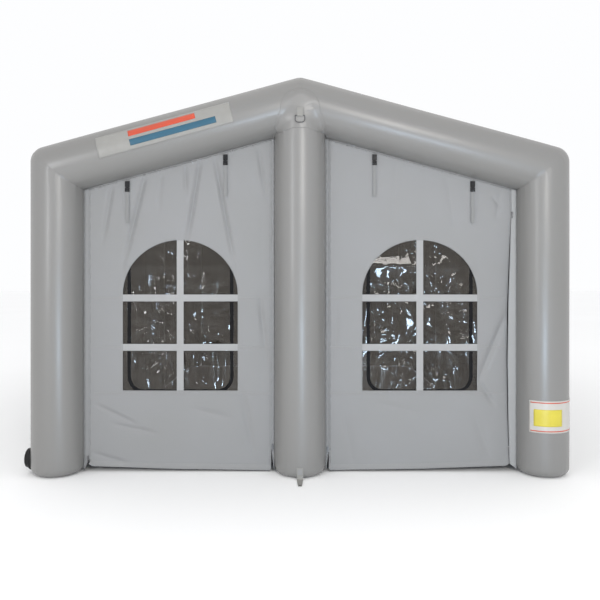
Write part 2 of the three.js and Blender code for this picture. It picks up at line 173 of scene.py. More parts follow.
def make_materials():
    made = {}
    pvc = Paint("tube_pvc", (0.186, 0.182, 0.173), 0.36).blotch(0.7, 0.018, 0.02)
    pvc.rough(2.0, 0.34, 0.39)
    pvc.bump(pvc.noise(4.0, 1.0), 0.06, 0.006)
    pvc.bump(pvc.noise(420.0, 1.0), 0.04, 0.0004)
    made["pvc"] = pvc.set(Coat_Weight=0.20, Coat_Roughness=0.24)
    made["tape"] = Paint("weld_tape", (0.212, 0.209, 0.200), 0.40).blotch(6.0, 0.03)
    made["tape"].bump(made["tape"].noise(300.0), 0.10, 0.0005)
    made["cloth"] = woven("wall_cloth", (0.224, 0.224, 0.222), 0.62, 0.004, 0.02, 0.02)
    made["seam"] = woven("hem_cloth", (0.232, 0.231, 0.229), 0.66, 0.003)
    # the inner faces of the fixed walls and the roof: near-black brown, painted shade for the dim inside of
    # the tent
    made["inside_shade"] = woven("inside_painted_shade", (0.060, 0.054, 0.048), 0.75, 0.004, 0.12)
    made["bar"] = woven("window_bar", (0.290, 0.290, 0.288), 0.6, 0.003)
    made["roof"] = woven("roof_cloth", (0.245, 0.244, 0.238), 0.45, 0.003)
    made["thread"] = woven("thread", (0.29, 0.29, 0.29), 0.7, 0.001)
    # tie webbing darker than the wall cloth: painted shade, so the straps look as shaded as the wall under
    # the rafters
    made["tie"] = woven("tie_webbing_darkened_for_shade", (0.195, 0.195, 0.193), 0.7, 0.002)
    made["webbing"] = woven("webbing", (0.23, 0.225, 0.21), 0.7, 0.002)
    zip_white = Paint("white_coil", (0.225, 0.225, 0.225), 0.4).blotch(30.0, 0.06)
    made["coil"] = zip_white.bump(zip_white.noise(500.0), 0.2, 0.0006)
    zip_black = Paint("black_coil", (0.008, 0.008, 0.009), 0.6).blotch(20.0, 0.3)
    made["black_zip"] = zip_black.bump(zip_black.wave(300.0, "Z"), 0.3, 0.0008)
    made["black_zip"].set(Specular_IOR_Level=0.12)
    # the clear film's dark brown tint at 45% cover is painted shade, standing in for the dim inside seen
    # through the windows; its glints come from the lamps
    clear = Paint("clear_pvc", (0.050, 0.043, 0.035), 0.05).blotch(3.0, 0.25)
    clear.bump(clear.noise(9.0, 2.0, (1.0, 1.0, 0.5)), 0.12, 0.010)
    made["clear"] = clear.set(Alpha=0.45, IOR=1.55)
    made["clear"].material.surface_render_method = "BLENDED"
    black = Paint("black_plastic", (0.009, 0.009, 0.010), 0.42).rough(40.0, 0.36, 0.5)
    made["black"] = black.blotch(30.0, 0.25).bump(black.noise(700.0), 0.08, 0.0003)
    black.set(Specular_IOR_Level=0.2)
    rubber = Paint("valve_rubber", (0.012, 0.012, 0.012), 0.55).rough(25.0, 0.45, 0.7)
    made["valve"] = rubber.blotch(18.0, 0.3).bump(rubber.noise(260.0), 0.15, 0.0005)
    rubber.set(Specular_IOR_Level=0.2)
    steel = Paint("steel", (0.11, 0.11, 0.11), 0.3, 1.0).rough(90.0, 0.25, 0.45)
    made["steel"] = steel.bump(steel.noise(900.0), 0.05, 0.0002)
    slider = Paint("zip_metal", (0.16, 0.16, 0.165), 0.35, 1.0).rough(200.0, 0.25, 0.45)
    made["slider"] = slider.blotch(60.0, 0.15)
    for key, color in {
        "red_print": (0.46, 0.055, 0.022),
        "blue_print": (0.014, 0.085, 0.14),
        "patch": (0.25, 0.245, 0.23),
        "label_white": (0.45, 0.43, 0.40),
        "label_yellow": (0.52, 0.44, 0.04),
    }.items():
        paint = Paint(key, color, 0.3).blotch(12.0, 0.05)
        made[key] = paint.bump(paint.noise(350.0), 0.08, 0.0004).set(Coat_Weight=0.2)
    return made


PAINT = make_materials()


# ---------- making pieces ----------
def piece(name, points, faces, paint, body="frame", replaces=(), smooth=True):
    """A mesh that rides on a body, painted with the given paint."""
    mesh = bpy.data.meshes.new(name)
    mesh.from_pydata([tuple(map(float, p)) for p in points], [], faces)
    mesh.update()
    mesh.polygons.foreach_set("use_smooth", [smooth] * len(mesh.polygons))
    mesh.materials.append(PAINT[paint].material)
    made = add(name, mesh)
    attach(made, body)
    if replaces:
        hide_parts(*replaces)
    return made


def grid_faces(rows, columns, closed=False, flip=False):
    """Quads between rows of points, joined round each row when it is closed."""
    faces = []
    for i in range(rows - 1):
        for j in range(columns if closed else columns - 1):
            k = (j + 1) % columns
            here, above = i * columns, (i + 1) * columns
            faces.append((here + j, here + k, above + k, above + j))
    return [f[::-1] for f in faces] if flip else faces


def solidify(made, thickness, offset=0.0, inside=None):
    modifier = made.modifiers.new("thickness", "SOLIDIFY")
    modifier.thickness = thickness
    modifier.offset = offset
    if inside:
        made.data.materials.append(PAINT[inside].material)
        modifier.material_offset = 1
    return made


# ---------- air beams ----------
TIGHT, RIDGE_TIGHT = 0.012, 0.03          # a bend's radius on its inside
EAVE_LOOSE, RIDGE_LOOSE = 0.115, 0.10     # and on its outside
SADDLE_LIMIT = 0.03                       # a saddle's longest line ends this far before the axis
SADDLE_GAP = 0.0005
CORNER_REACH = 0.045
PULL_LENGTH = 0.045                       # how far from a weld the gathers fade
SOFTNESS = 0.0012                         # slow unevenness of a tube


def unit(v):
    v = np.asarray(v, float)
    return v / np.linalg.norm(v)


def unit_rows(v):
    return v / np.linalg.norm(v, axis=1)[:, None]


def turns(count):
    return np.arange(count) / count * 2 * math.pi


def ring(phi, a, b):
    """Points round a unit circle in the plane of a and b."""
    return np.cos(phi)[:, None] * a + np.sin(phi)[:, None] * b


def rafter_direction(side):
    return np.array([-side * COS, 0.0, SIN])


def rafter_over(side):
    """Up and out, square to a rafter."""
    return np.array([side * SIN, 0.0, COS])


def eave_point(side, y=0.0):
    return np.array([side * LEG_X, y, EAVE_Z])


def ridge_point(y=0.0):
    return np.array([0.0, y, RIDGE_Z])


def mitre(planes, steps=8):
    """An end where each line of the tube turns to meet a mitre plane squarely.

    Each plane is (point, normal, tight, loose): the turn's radius grows from tight on the
    inside of the bend to loose on its outside.
    """

    def rows(base, out, d):
        reach = np.full(len(base), 1e9)
        normal = np.zeros_like(base)
        tight, loose = np.zeros(len(base)), np.zeros(len(base))
        for point, n, least, most in planes:
            n = unit(n)
            s = (point - base) @ n / (d @ n)
            nearer = s < reach
            reach[nearer] = s[nearer]
            normal[nearer] = n
            tight[nearer], loose[nearer] = least, most
        along = normal @ d
        turn = np.arccos(np.clip(along, -1.0, 1.0))
        bend = unit_rows(normal - along[:, None] * d)
        outside = (1.0 - np.einsum("ij,ij->i", out, bend)) / 2.0
        radius = tight + (loose - tight) * outside ** 1.5
        start = reach - radius * np.tan(turn)
        made = []
        for i in range(steps + 1):
            angle = turn * i / steps
            forward = (start + radius * np.sin(angle))[:, None] * d
            made.append(base + forward + (radius * (1.0 - np.cos(angle)))[:, None] * bend)
        return made, start

    return rows


def saddle(rooms, limit, corner=None):
    """An end that stops on the outside of crossing tubes, each (point, axis, plane point, plane normal).

    A room counts only where the hit lies on the side of its plane that the normal points to.
    Toward a corner, where the crossing tubes are rounded off, the end reaches further in.
    """

    def rows(base, out, d):
        reach = np.full(len(base), 1e9)
        for point, axis, at, normal in rooms:
            across = base - point
            across = across - (across @ axis)[:, None] * axis
            move = d - (d @ axis) * axis
            a = move @ move
            b = across @ move
            c = np.einsum("ij,ij->i", across, across) - (R + SADDLE_GAP) ** 2
            hit = (-b - np.sqrt(np.maximum(b * b - a * c, 0.0))) / a
            spot = base + hit[:, None] * d
            counts = (spot - at) @ normal >= -1e-6
            reach = np.where(counts, np.minimum(reach, hit), reach)
        reach = np.minimum(reach, limit)
        if corner is not None:
            reach = reach + CORNER_REACH * np.clip(out @ corner, 0.0, 1.0)
        return [base + (reach - step)[:, None] * d for step in (0.012, 0.006, 0.0)], reach - 0.012

    return rows


def foot(base, out, d):
    """The rounded, flat-bottomed end of a standing tube; d points down."""
    start = base[:, 2] - FOOT_FILLET
    centre = base - R * out
    made = []
    for i in range(9):
        angle = i / 8 * math.pi / 2
        radius = FOOT_FLAT + FOOT_FILLET * math.cos(angle)
        row = centre + radius * out
        row[:, 2] = FOOT_FILLET * (1.0 - math.sin(angle))
        made.append(row)
    for share in (0.8, 0.5, 0.2, 0.002):
        row = centre + FOOT_FLAT * share * out
        row[:, 2] = 0.0
        made.append(row)
    return made, start


def gathers(seed):
    """An uneven row of gathers round a tube, from 0 to 1."""
    dice = random.Random(seed)
    waves = [(m, dice.uniform(0, 2 * math.pi), dice.uniform(0.5, 1.0)) for m in (11, 17, 23, 31)]
    phi = turns(AROUND)
    total = sum(a * np.cos(m * phi + p) for m, p, a in waves)
    return np.clip(0.5 + total / 4.0, 0.0, 1.0)


def air_beam(name, origin, direction, aside, start, end, seed, pull=(0.003, 0.003), straight=26):
    """A tube from one end rule to the other, with gathers beside its welds."""
    d = unit(direction)
    a = unit(aside)
    b = np.cross(d, a)
    phi = turns(AROUND)
    out = ring(phi, a, b)
    base = np.asarray(origin, float) + R * out
    last, s_end = end(base, out, d)
    first, s_start = start(base, out, -d)
    middle = []
    for t in np.linspace(0.0, 1.0, straight)[1:-1]:
        s = -s_start + t * (s_end + s_start)
        middle.append(base + s[:, None] * d)
    rows = np.array([*reversed(first), *middle, *last])
    steps = np.linalg.norm(np.diff(rows, axis=0), axis=2)
    travelled = np.vstack([np.zeros(AROUND), np.cumsum(steps, axis=0)])
    from_start, from_end = travelled, travelled[-1] - travelled
    if start is foot:
        from_start = from_start - FOOT_FLAT - FOOT_FILLET * 1.1
    for distance, depth, shift in ((from_start, pull[0], 0), (from_end, pull[1], 7)):
        near = np.exp(-np.abs(distance) / PULL_LENGTH) * (distance > -0.05)
        rows = rows - (near * depth * gathers(seed + shift))[:, :, None] * out
    soft = SOFTNESS * np.sin(travelled * 3.1 + seed) * np.cos(2 * phi + seed)
    soft *= np.minimum(1.0, np.minimum(np.abs(from_start), from_end) / 0.2)
    rows = rows + soft[:, :, None] * out
    rows[:, :, 2] = np.maximum(rows[:, :, 2], 0.0)
    faces = grid_faces(len(rows), AROUND, True, True)
    if start is foot:
        faces.append(tuple(range(AROUND)))
    return piece(f"{name}_skin", rows.reshape(-1, 3), faces, "pvc", "frame", [name])


def make_arch(place, y, seed):
    """Two legs and two rafters; the front and back arches also have a post."""
    ridge = ridge_point(y)
    for hand, side in SIDES.items():
        direction = rafter_direction(side)
        eave = eave_point(side, y)
        seed += 1
        if place == "middle":            # these tubes end on the long beams
            room = [(eave, ALONG_Y, eave, np.zeros(3))]
            top = saddle(room, EAVE_Z - SADDLE_LIMIT)
            low = saddle(room, -SADDLE_LIMIT)
            high = saddle([(ridge, ALONG_Y, ridge, np.zeros(3))], LEG_X / COS - SADDLE_LIMIT)
        else:
            top = mitre([(eave, direction + UP, TIGHT, EAVE_LOOSE)])
            low = mitre([(eave, -direction - UP, TIGHT, EAVE_LOOSE)])
            high = mitre([(ridge, (-side, 0, 0), RIDGE_TIGHT, RIDGE_LOOSE),
                          (ridge, direction - UP, TIGHT, RIDGE_LOOSE)])
        air_beam(f"{place}_{hand}_leg", (side * LEG_X, y, 0), UP, (1, 0, 0), foot, top, seed)
        air_beam(f"{place}_{hand}_rafter", eave, direction, rafter_over(side), low, high, seed + 40)
    if place != "middle":
        head = mitre([(ridge, UP - rafter_direction(side), TIGHT, RIDGE_LOOSE) for side in (-1, 1)])
        air_beam(f"{place}_post", (0, y, 0), UP, (1, 0, 0), foot, head, seed + 80, (0.003, 0.006))


def long_beam(name, point, sides, seed):
    """A beam from the front arch to the back one, shaped round the rafters on these sides of it."""
    at_ridge = len(sides) == 2
    bend = rafter_direction(sides[0])
    ends = []
    for sign in (-1, 1):
        at = point + sign * ARCH_Y * ALONG_Y
        rooms = []
        for side in sides:
            direction = rafter_direction(side)
            rooms.append((at, direction, at, UP - direction if at_ridge else direction + UP))
        rooms.append((at, UP, at, -UP if at_ridge else -bend - UP))
        ends.append(saddle(rooms, ARCH_Y, UP if at_ridge else unit(UP - bend)))
    air_beam(name, point, ALONG_Y, (1, 0, 0), *ends, seed, straight=60)


for number, (where, arch_y) in enumerate(ARCHES.items()):
    make_arch(where, arch_y, 3 + 2 * number)
long_beam("ridge_beam", ridge_point(), (-1, 1), 61)
for hand, side in SIDES.items():
    long_beam(f"{hand}_eave_beam", eave_point(side), (side,), 70 + side)


# ---------- flat cuts of cloth ----------
LEAST_SHARE = 0.3       # a sheet that fills less of its box is sized as a strip of the same area; that size is not used
BORDER_WIDTH = 0.08     # the width of that strip


def walk(corners, step, closed=True):
    """The corners joined by straight runs, with a point about every step."""
    corners = [np.asarray(c, float) for c in corners]
    ends = corners[1:] + corners[:1] if closed else corners[1:]
    points = []
    for a, b in zip(corners, ends):
        count = max(1, round(float(np.linalg.norm(b - a)) / step))
        points += [a + (b - a) * i / count for i in range(count)]
    if not closed:
        points.append(corners[-1])
    return np.array(points)


def arc(centre, radius, start, finish, count, squash=1.0):
    """Points on an arc, in degrees; squash scales its height."""
    angles = np.radians(np.linspace(start, finish, count))
    return [(centre[0] + radius * math.cos(a), centre[1] + radius * squash * math.sin(a)) for a in angles]


def within(points, loop):
    """Which points a closed loop goes round."""
    u, v = points[:, 0], points[:, 1]
    inside = np.zeros(len(points), bool)
    for (u0, v0), (u1, v1) in zip(loop, np.roll(loop, -1, axis=0)):
        if v0 != v1:
            crosses = (v0 > v) != (v1 > v)
            inside ^= crosses & (u < (u1 - u0) * (v - v0) / (v1 - v0) + u0)
    return inside


def loop_turn(loop):
    """Twice the area that a loop goes round, negative when it goes clockwise."""
    u, v = np.asarray(loop, float).T
    return float(np.dot(u, np.roll(v, -1)) - np.dot(v, np.roll(u, -1)))


def loop_area(loop):
    return abs(loop_turn(loop)) / 2


def crease(start, finish, width, depth):
    """A fold pressed in along a line, fading out at both ends."""
    start, finish = np.asarray(start, float), np.asarray(finish, float)
    run = finish - start
    length = float(np.linalg.norm(run))
    middle = (start + finish) / 2
    reach = 0.75 * length + 4 * width

    def height(u, v):
        u, v = np.atleast_1d(u), np.atleast_1d(v)
        total = np.zeros(u.shape)
        near = (np.abs(u - middle[0]) < reach) & (np.abs(v - middle[1]) < reach)
        along, up = u[near] - start[0], v[near] - start[1]
        t = (along * run[0] + up * run[1]) / length ** 2
        s = (along * run[1] - up * run[0]) / length
        fade = np.exp(-(((t - 0.5) / 0.55) ** 4) * 1.6)
        total[near] = depth * np.exp(-np.abs(s / width) ** 1.35) * fade
        return total

    return height


def swell(seed, length, height, lean=0.15, count=5):
    """Slow uneven waves across the width that drift a little with height."""
    dice = random.Random(seed)
    waves = []
    for _ in range(count):
        k = 2 * math.pi / (length * dice.uniform(0.6, 1.7))
        waves.append((k, k * dice.uniform(-lean, lean), dice.uniform(0, 6.28), dice.uniform(0.5, 1.0)))

    def depth(u, v):
        return height * sum(a * (0.5 + 0.5 * np.sin(k * u + m * v + p)) for k, m, p, a in waves) / count

    return depth


class Cloth:
    """A flat cut, hung with its across and up directions at origin, facing across x up."""

    def __init__(self, origin, across, up, depth):
        self.origin, self.across, self.up = (np.asarray(v, float) for v in (origin, across, up))
        self.outward = np.cross(self.across, self.up)
        self.depth = depth

    def at(self, flat, lift=0.0):
        u, v = flat[:, 0], flat[:, 1]
        rise = lift - self.depth(u, v)
        return self.origin + u[:, None] * self.across + v[:, None] * self.up + rise[:, None] * self.outward

    def behind(self, gap, extra):
        """The same hang, further in by gap and by what extra adds."""
        return Cloth(
            self.origin, self.across, self.up,
            lambda u, v: self.depth(u, v) + gap + extra(u, v),
        )


def cut(name, cloth, outline, holes, step, paint, body, replaces, thickness=0.0012, inside=None):
    """A sheet cut to an outline with holes, meshed finely enough to fold."""
    loops = [walk(outline, step)] + [walk(hole, step) for hole in holes]
    edge = np.concatenate(loops)
    low, high = edge.min(axis=0), edge.max(axis=0)
    u, v = np.meshgrid(np.arange(low[0], high[0], step), np.arange(low[1], high[1], step * 0.866))
    u[1::2] += step / 2
    grid = np.stack([u.ravel(), v.ravel()], axis=1)

    def on_cloth(points):
        keep = within(points, loops[0])
        for hole in loops[1:]:
            keep &= ~within(points, hole)
        return keep

    grid = grid[on_cloth(grid)]
    clear = np.ones(len(grid), bool)
    for part in np.array_split(edge, max(1, len(edge) // 200)):
        gap = np.linalg.norm(grid[:, None, :] - part[None, :, :], axis=2).min(axis=1)
        clear &= gap > step * 0.55
    points = np.concatenate([edge, grid[clear]])
    edges, first = [], 0
    for loop in loops:
        count = len(loop)
        edges += [(first + i, first + (i + 1) % count) for i in range(count)]
        first += count
    done = geometry.delaunay_2d_cdt([Vector(p) for p in points], edges, [], 0, 1e-6)
    flat = np.array([tuple(p) for p in done[0]])
    faces = np.array(done[2])
    faces = faces[on_cloth(flat[faces].mean(axis=1))]
    made = piece(name, cloth.at(flat), faces.tolist(), paint, body, replaces)
    solidify(made, thickness, -1.0 if inside else 0.0, inside)
    size = high - low
    area = loop_area(loops[0]) - sum(loop_area(hole) for hole in loops[1:])
    if area < LEAST_SHARE * size[0] * size[1]:
        size = (BORDER_WIDTH, area / BORDER_WIDTH)
    return made


TRIM_LIFT = 0.0006      # from the cloth's middle to the underside of a strip
TRIM_SECTION = [(-0.5, 0.0), (-0.42, 0.85), (0.0, 1.0), (0.42, 0.85), (0.5, 0.0)]    # across, height


def trim(name, cloth, paths, width, paint, body, thick=0.0008, step=0.012):
    """Narrow strips laid on a cloth along paths: hems, seams, tapes and coils."""
    points, faces, first = [], [], 0
    for path in paths:
        path = walk(path, step, False)
        ahead, behind = np.diff(path, axis=0, append=0), np.diff(path, axis=0, prepend=0)
        ahead[-1], behind[0] = behind[-1], ahead[0]
        ahead, behind = unit_rows(ahead), unit_rows(behind)
        run = unit_rows(ahead + behind)
        turn = np.maximum(0.5, np.einsum("ij,ij->i", run, ahead))
        side = width * np.stack([run[:, 1], -run[:, 0]], axis=1) / turn[:, None]
        rows = [cloth.at(path + w * side, TRIM_LIFT + h * thick) for w, h in TRIM_SECTION]
        points.append(np.stack(rows, axis=1).reshape(-1, 3))
        faces += [[first + k for k in f] for f in grid_faces(len(path), len(TRIM_SECTION))]
        first += len(points[-1])
    return piece(name, np.concatenate(points), faces, paint, body)


def stitch(name, cloth, paths, body, lift, length=0.005, gap=0.003, width=0.0009):
    """Rows of stitches along paths."""
    points = []
    for path in paths:
        spots = walk(path, length + gap, False)
        for a, b in zip(spots[:-1], spots[1:]):
            run = unit(b - a)
            side = np.array([run[1], -run[0]]) * width / 2
            b = a + run * length
            points += [a - side, a + side, b + side, b - side]
    faces = [tuple(range(k, k + 4)) for k in range(0, len(points), 4)]
    made = piece(name, cloth.at(np.array(points), lift), faces, "thread", body)
    return solidify(made, 0.0005)


# ---------- swept, lathed and banded hardware ----------
def hose(name, path, radius, paint, body="frame", replaces=(), closed=False, around=12):
    """A round bar, cord or wire along a path."""
    path = np.asarray(path, float)
    run = np.gradient(path, axis=0)
    if closed:
        run = np.roll(path, -1, axis=0) - np.roll(path, 1, axis=0)
    run = unit_rows(run)
    start = ALONG_Y if abs(run[0][1]) < 0.9 else UP
    rings, side = [], np.cross(run[0], start)
    for point, d in zip(path, run):
        side = unit(side - (side @ d) * d)
        rings.append(point + radius * ring(turns(around), side, np.cross(d, side)))
    if closed:
        rings.append(rings[0])
    count = len(rings)
    faces = grid_faces(count, around, True, True)
    if not closed:
        faces += [tuple(range(around)), tuple(range(count * around - 1, (count - 1) * around - 1, -1))]
    return piece(name, np.concatenate(rings), faces, paint, body, replaces)


def lathe(name, profile, centre, axis, paint, body, replaces, ribs, rib_depth, around=96):
    """A profile of (radius, height) turned about an axis, with the outermost rows ribbed."""
    axis = unit(axis)
    a = np.cross(axis, UP)
    b = np.cross(axis, a)
    phi = turns(around)
    widest = max(r for r, _ in profile)
    rows = []
    for r, h in profile:
        radius = np.full(around, r)
        if r > 0.9 * widest:
            radius -= rib_depth * (np.cos(ribs * phi) > 0)
        rows.append(np.asarray(centre) + h * axis + radius[:, None] * ring(phi, a, b))
    faces = grid_faces(len(rows), around, True)
    return piece(name, np.concatenate(rows), faces, paint, body, replaces, smooth=False)


def band(name, path, halves, paint, body="frame", replaces=(), thickness=0.0012, across=(1, 0, 0)):
    """Webbing that follows a path, with one half width or one for each point."""
    path = np.asarray(path, float)
    halves = np.broadcast_to(halves, len(path))
    columns = np.linspace(-1.0, 1.0, 7)
    points = [p + unit(across) * w * c for p, w in zip(path, halves) for c in columns]
    faces = grid_faces(len(path), len(columns))
    return solidify(piece(name, points, faces, paint, body, replaces, False), thickness)


def finer(points, times=4):
    """A smooth run through points."""
    points = np.asarray(points, float)
    padded = np.vstack([2 * points[0] - points[1], points, 2 * points[-1] - points[-2]])
    made = []
    for p0, p1, p2, p3 in zip(padded, padded[1:], padded[2:], padded[3:]):
        for t in np.arange(times) / times:
            made.append(0.5 * (2 * p1 + (p2 - p0) * t + (2 * p0 - 5 * p1 + 4 * p2 - p3) * t ** 2
                               + (3 * p1 - p0 - 3 * p2 + p3) * t ** 3))
    return np.array([*made, points[-1]])


def under(x):
    """Height of a rafter's underside, x from the middle."""
    return RIDGE_Z - R / COS - TAN * abs(x)


# ---------- front walls ----------
TOP_GAP = 0.0095
SEAMS = (1.299, 0.929, 0.585)
INNER_EDGE, OUTER_EDGE = WALL_LOW.x, WALL_HIGH.x
# creases pressed into the front walls: start, finish, width, depth
LEFT_FOLDS = [
    ((-1.154, 2.26), (-1.311, 1.60), 0.018, 0.027),
    ((-0.742, 2.38), (-0.845, 1.74), 0.016, 0.027),
    ((-0.645, 2.37), (-0.500, 1.60), 0.014, 0.025),
    ((-0.862, 2.34), (-0.855, 2.10), 0.013, 0.017),
    ((-0.316, 2.42), (-0.245, 2.02), 0.014, 0.017),
    ((-1.400, 2.19), (-1.475, 1.75), 0.016, 0.018),
    ((-1.040, 2.26), (-1.060, 1.95), 0.018, 0.010),
    ((-0.301, 1.29), (-0.235, 0.78), 0.021, 0.021),
    ((-1.527, 0.498), (-1.228, 0.356), 0.013, 0.013),
    ((-1.400, 0.356), (-1.086, 0.289), 0.013, 0.013),
    ((-1.565, 0.140), (-1.288, 0.060), 0.014, 0.014),
    ((-0.80, 0.47), (-0.52, 0.40), 0.024, 0.008),
    ((-0.44, 0.62), (-0.34, 0.12), 0.028, 0.013),
]
RIGHT_FOLDS = [
    ((1.540, 1.16), (1.336, 0.670), 0.022, 0.021),
    ((1.336, 0.675), (1.455, 0.500), 0.018, 0.016),
    ((0.274, 1.20), (0.250, 0.84), 0.020, 0.010),
    ((1.44, 2.06), (1.50, 1.98), 0.011, 0.009),
    ((1.50, 2.09), (1.47, 1.90), 0.013, 0.008),
    ((0.72, 2.32), (0.70, 1.90), 0.027, 0.005),
    ((1.10, 2.20), (1.16, 1.80), 0.027, 0.005),
    ((0.55, 0.52), (0.90, 0.44), 0.027, 0.005),
    ((0.34, 0.42), (0.40, 0.06), 0.027, 0.007),
    ((1.30, 0.42), (1.42, 0.10), 0.032, 0.008),
]
BUCKLES = {"inner": 0.557, "outer": 1.290}
FREE_EDGE_CURL = 0.022
FINE_STEP, FILM_STEP = 0.012, 0.008      # how finely the cloth and the film are meshed
HEM_WIDTH = 0.040
ROW_INSET = 0.016                        # a row of stitches is this far in from an upright edge
COIL_WIDTH, COIL_HEIGHT = 0.0055, 0.0014
FILM, FILM_GAP = 0.0006, 0.0036          # the clear film's thickness, and how far it is behind the cloth
ZIP_GAP = 0.0015                         # from the film's edges to the line of the window's zip
TAPE_OUT, RAIL_OUT = 0.0075, 0.0016      # from that line to the middle of a tape and of a coil
# the fixed flaps beside the zips: root, free edge, and the edge of the wall that it closes on
FLAPS = (("inner", 0.1903, 0.214, INNER_EDGE), ("outer", 1.6197, 1.580, OUTER_EDGE))
OPEN_OUTER_Z = 1.915                     # the right wall's outer zip is open below here
OUTER_LINE = [(0.06, 1.564), (0.45, 1.555), (0.83, 1.551), (1.25, 1.556), (1.58, 1.567), (1.90, OUTER_EDGE)]


def still(u, v, side):
    """0 where a front wall is held, 1 where it is free to fold."""
    x = side * u
    inner = np.clip((x - INNER_EDGE) / 0.07, 0, 1)
    outer = np.clip((OUTER_EDGE - x) / 0.07, 0, 1)
    if side > 0:
        outer = np.where(v < OPEN_OUTER_Z, np.clip(outer + (OPEN_OUTER_Z - v) / 0.3, 0, 1), outer)
    top = np.clip((under(0) - TOP_GAP - TAN * x - v) / 0.05, 0, 1)
    calm = inner * outer * top
    for place in BUCKLES.values():
        near = ((x - place) / 0.035) ** 2 + ((v - under(place) + 0.12) / 0.16) ** 2
        calm = calm * (1.0 - 0.85 * np.exp(-near ** 2))
    return calm


def hinge_calm(u, v, side):
    """0 along the line that a window's flap turns about, 1 away from it."""
    near = np.exp(-((v - ZIP_TOP) / 0.055) ** 2)
    across = np.clip((0.425 - np.abs(u - side * WINDOW_X)) / 0.03, 0, 1)
    return 1.0 - near * across


def front_depth(side):
    lines = [crease(*fold) for fold in (LEFT_FOLDS if side < 0 else RIGHT_FOLDS)]
    slow = swell(11 + side, 0.55, 0.009 if side < 0 else 0.005)
    small = swell(23 + side, 0.16, 0.0022 if side < 0 else 0.0012, 0.3)

    def depth(u, v):
        folds = sum(line(u, v) for line in lines)
        waves = slow(u, v) + small(u, v)
        total = (folds + waves) * still(u, v, side) * hinge_calm(u, v, side)
        if side > 0:
            reach = np.clip((u - 1.30) / 0.27, 0, 1) ** 2
            drop = np.clip((OPEN_OUTER_Z - v) / OPEN_OUTER_Z, 0, 1)
            total = total + FREE_EDGE_CURL * reach * np.sin(math.pi * drop ** 0.9) ** 0.8
        return total

    return depth


def lights(side):
    """The six openings of a window."""
    middle = side * WINDOW_X
    made = []
    for hand in (-1, 1):
        near, far = middle + hand * MULLION_HALF, middle + hand * WINDOW_HALF
        for low, high in ROWS:
            made.append([(near, low), (far, low), (far, high), (near, high)])
        head = [(near, SPRING_Z)]
        start = math.degrees(math.acos(MULLION_HALF / WINDOW_HALF))
        turn = arc((middle, SPRING_Z), WINDOW_HALF, 0, start, 40, ARCH_RISE / WINDOW_HALF)
        head += [(middle + hand * (u - middle), v) for u, v in turn]
        made.append(head)
    return made


def window_outline(side, grow):
    middle = side * WINDOW_X
    half = WINDOW_HALF + grow
    turn = arc((middle, SPRING_Z), half, 0, 180, 60, (ARCH_RISE + grow) / half)
    return [(middle - half, ROWS[0][0] - grow), (middle + half, ROWS[0][0] - grow), *turn]


def zip_outline(side, grow):
    """The U of a window's zip, open at the top."""
    middle = side * WINDOW_X
    half, low, high, corner = 0.385 + grow, 0.600 - grow, ZIP_TOP - 0.001, 0.108 + grow
    path = [(middle - half, high)]
    path += arc((middle - half + corner, low + corner), corner, 180, 270, 14)
    path += arc((middle + half - corner, low + corner), corner, 270, 360, 14)
    return [*path, (middle + half, high)]


def wrinkles(side, seed):
    """Short sharp creases in clear film, thickest round the edge of the window."""
    dice = random.Random(seed)
    middle = side * WINDOW_X
    made = []
    for number in range(230):
        turn = dice.uniform(0, 2 * math.pi)
        reach = dice.choice([0.5, 0.8, 0.95, 1.0]) * dice.uniform(0.9, 1.0)
        u = middle + 0.41 * reach * math.cos(turn)
        v = 1.15 + 0.56 * reach * math.sin(turn)
        lean = turn + dice.uniform(-0.5, 0.5) if number % 3 else dice.choice([1.42, 1.57, 1.75])
        length = dice.uniform(0.05, 0.17) if number % 3 else dice.uniform(0.12, 0.40)
        du, dv = length * math.cos(lean), length * math.sin(lean)
        width = dice.uniform(0.008, 0.020)
        made.append(crease((u, v), (u - du, v - dv), width, width * dice.uniform(0.14, 0.50)))
    slow = swell(seed, 0.22, 0.010, 0.6, 6)
    return lambda u, v: (sum(line(u, v) for line in made) + slow(u, v)) * hinge_calm(u, v, side)


def make_front_walls():
    for hand, side in SIDES.items():
        body = f"front_{hand}_wall"
        cloth = Cloth((0, -ARCH_Y, 0), (1, 0, 0), UP, front_depth(side))
        top_in, top_out = ((side * x, under(x) - TOP_GAP) for x in (INNER_EDGE, OUTER_EDGE))
        if side > 0:
            outer = [(x, z) for z, x in OUTER_LINE]
            bottom = [(0.220, 0.010), (0.9, 0.020), *arc((1.534, 0.072), 0.030, 270, 350, 5)]
        else:
            outer = [(-OUTER_EDGE, 0.12)]
            bottom = [(-0.221, 0.008), (-0.9, 0.018), *arc((-1.541, 0.072), 0.034, 270, 180, 6)]
        outline = [*bottom, *outer, top_out, top_in, (side * INNER_EDGE, 0.20)]
        if side < 0:
            outline = outline[::-1]
        cut(f"{body}_cloth", cloth, outline, lights(side), FINE_STEP, "cloth", body, [body])
        sew_front_wall(side, body, cloth, bottom[:-2], [*outer[1:], (top_out[0], top_out[1] - 0.03)],
                       [top_in, top_out])
        make_window(hand, side, body, cloth)


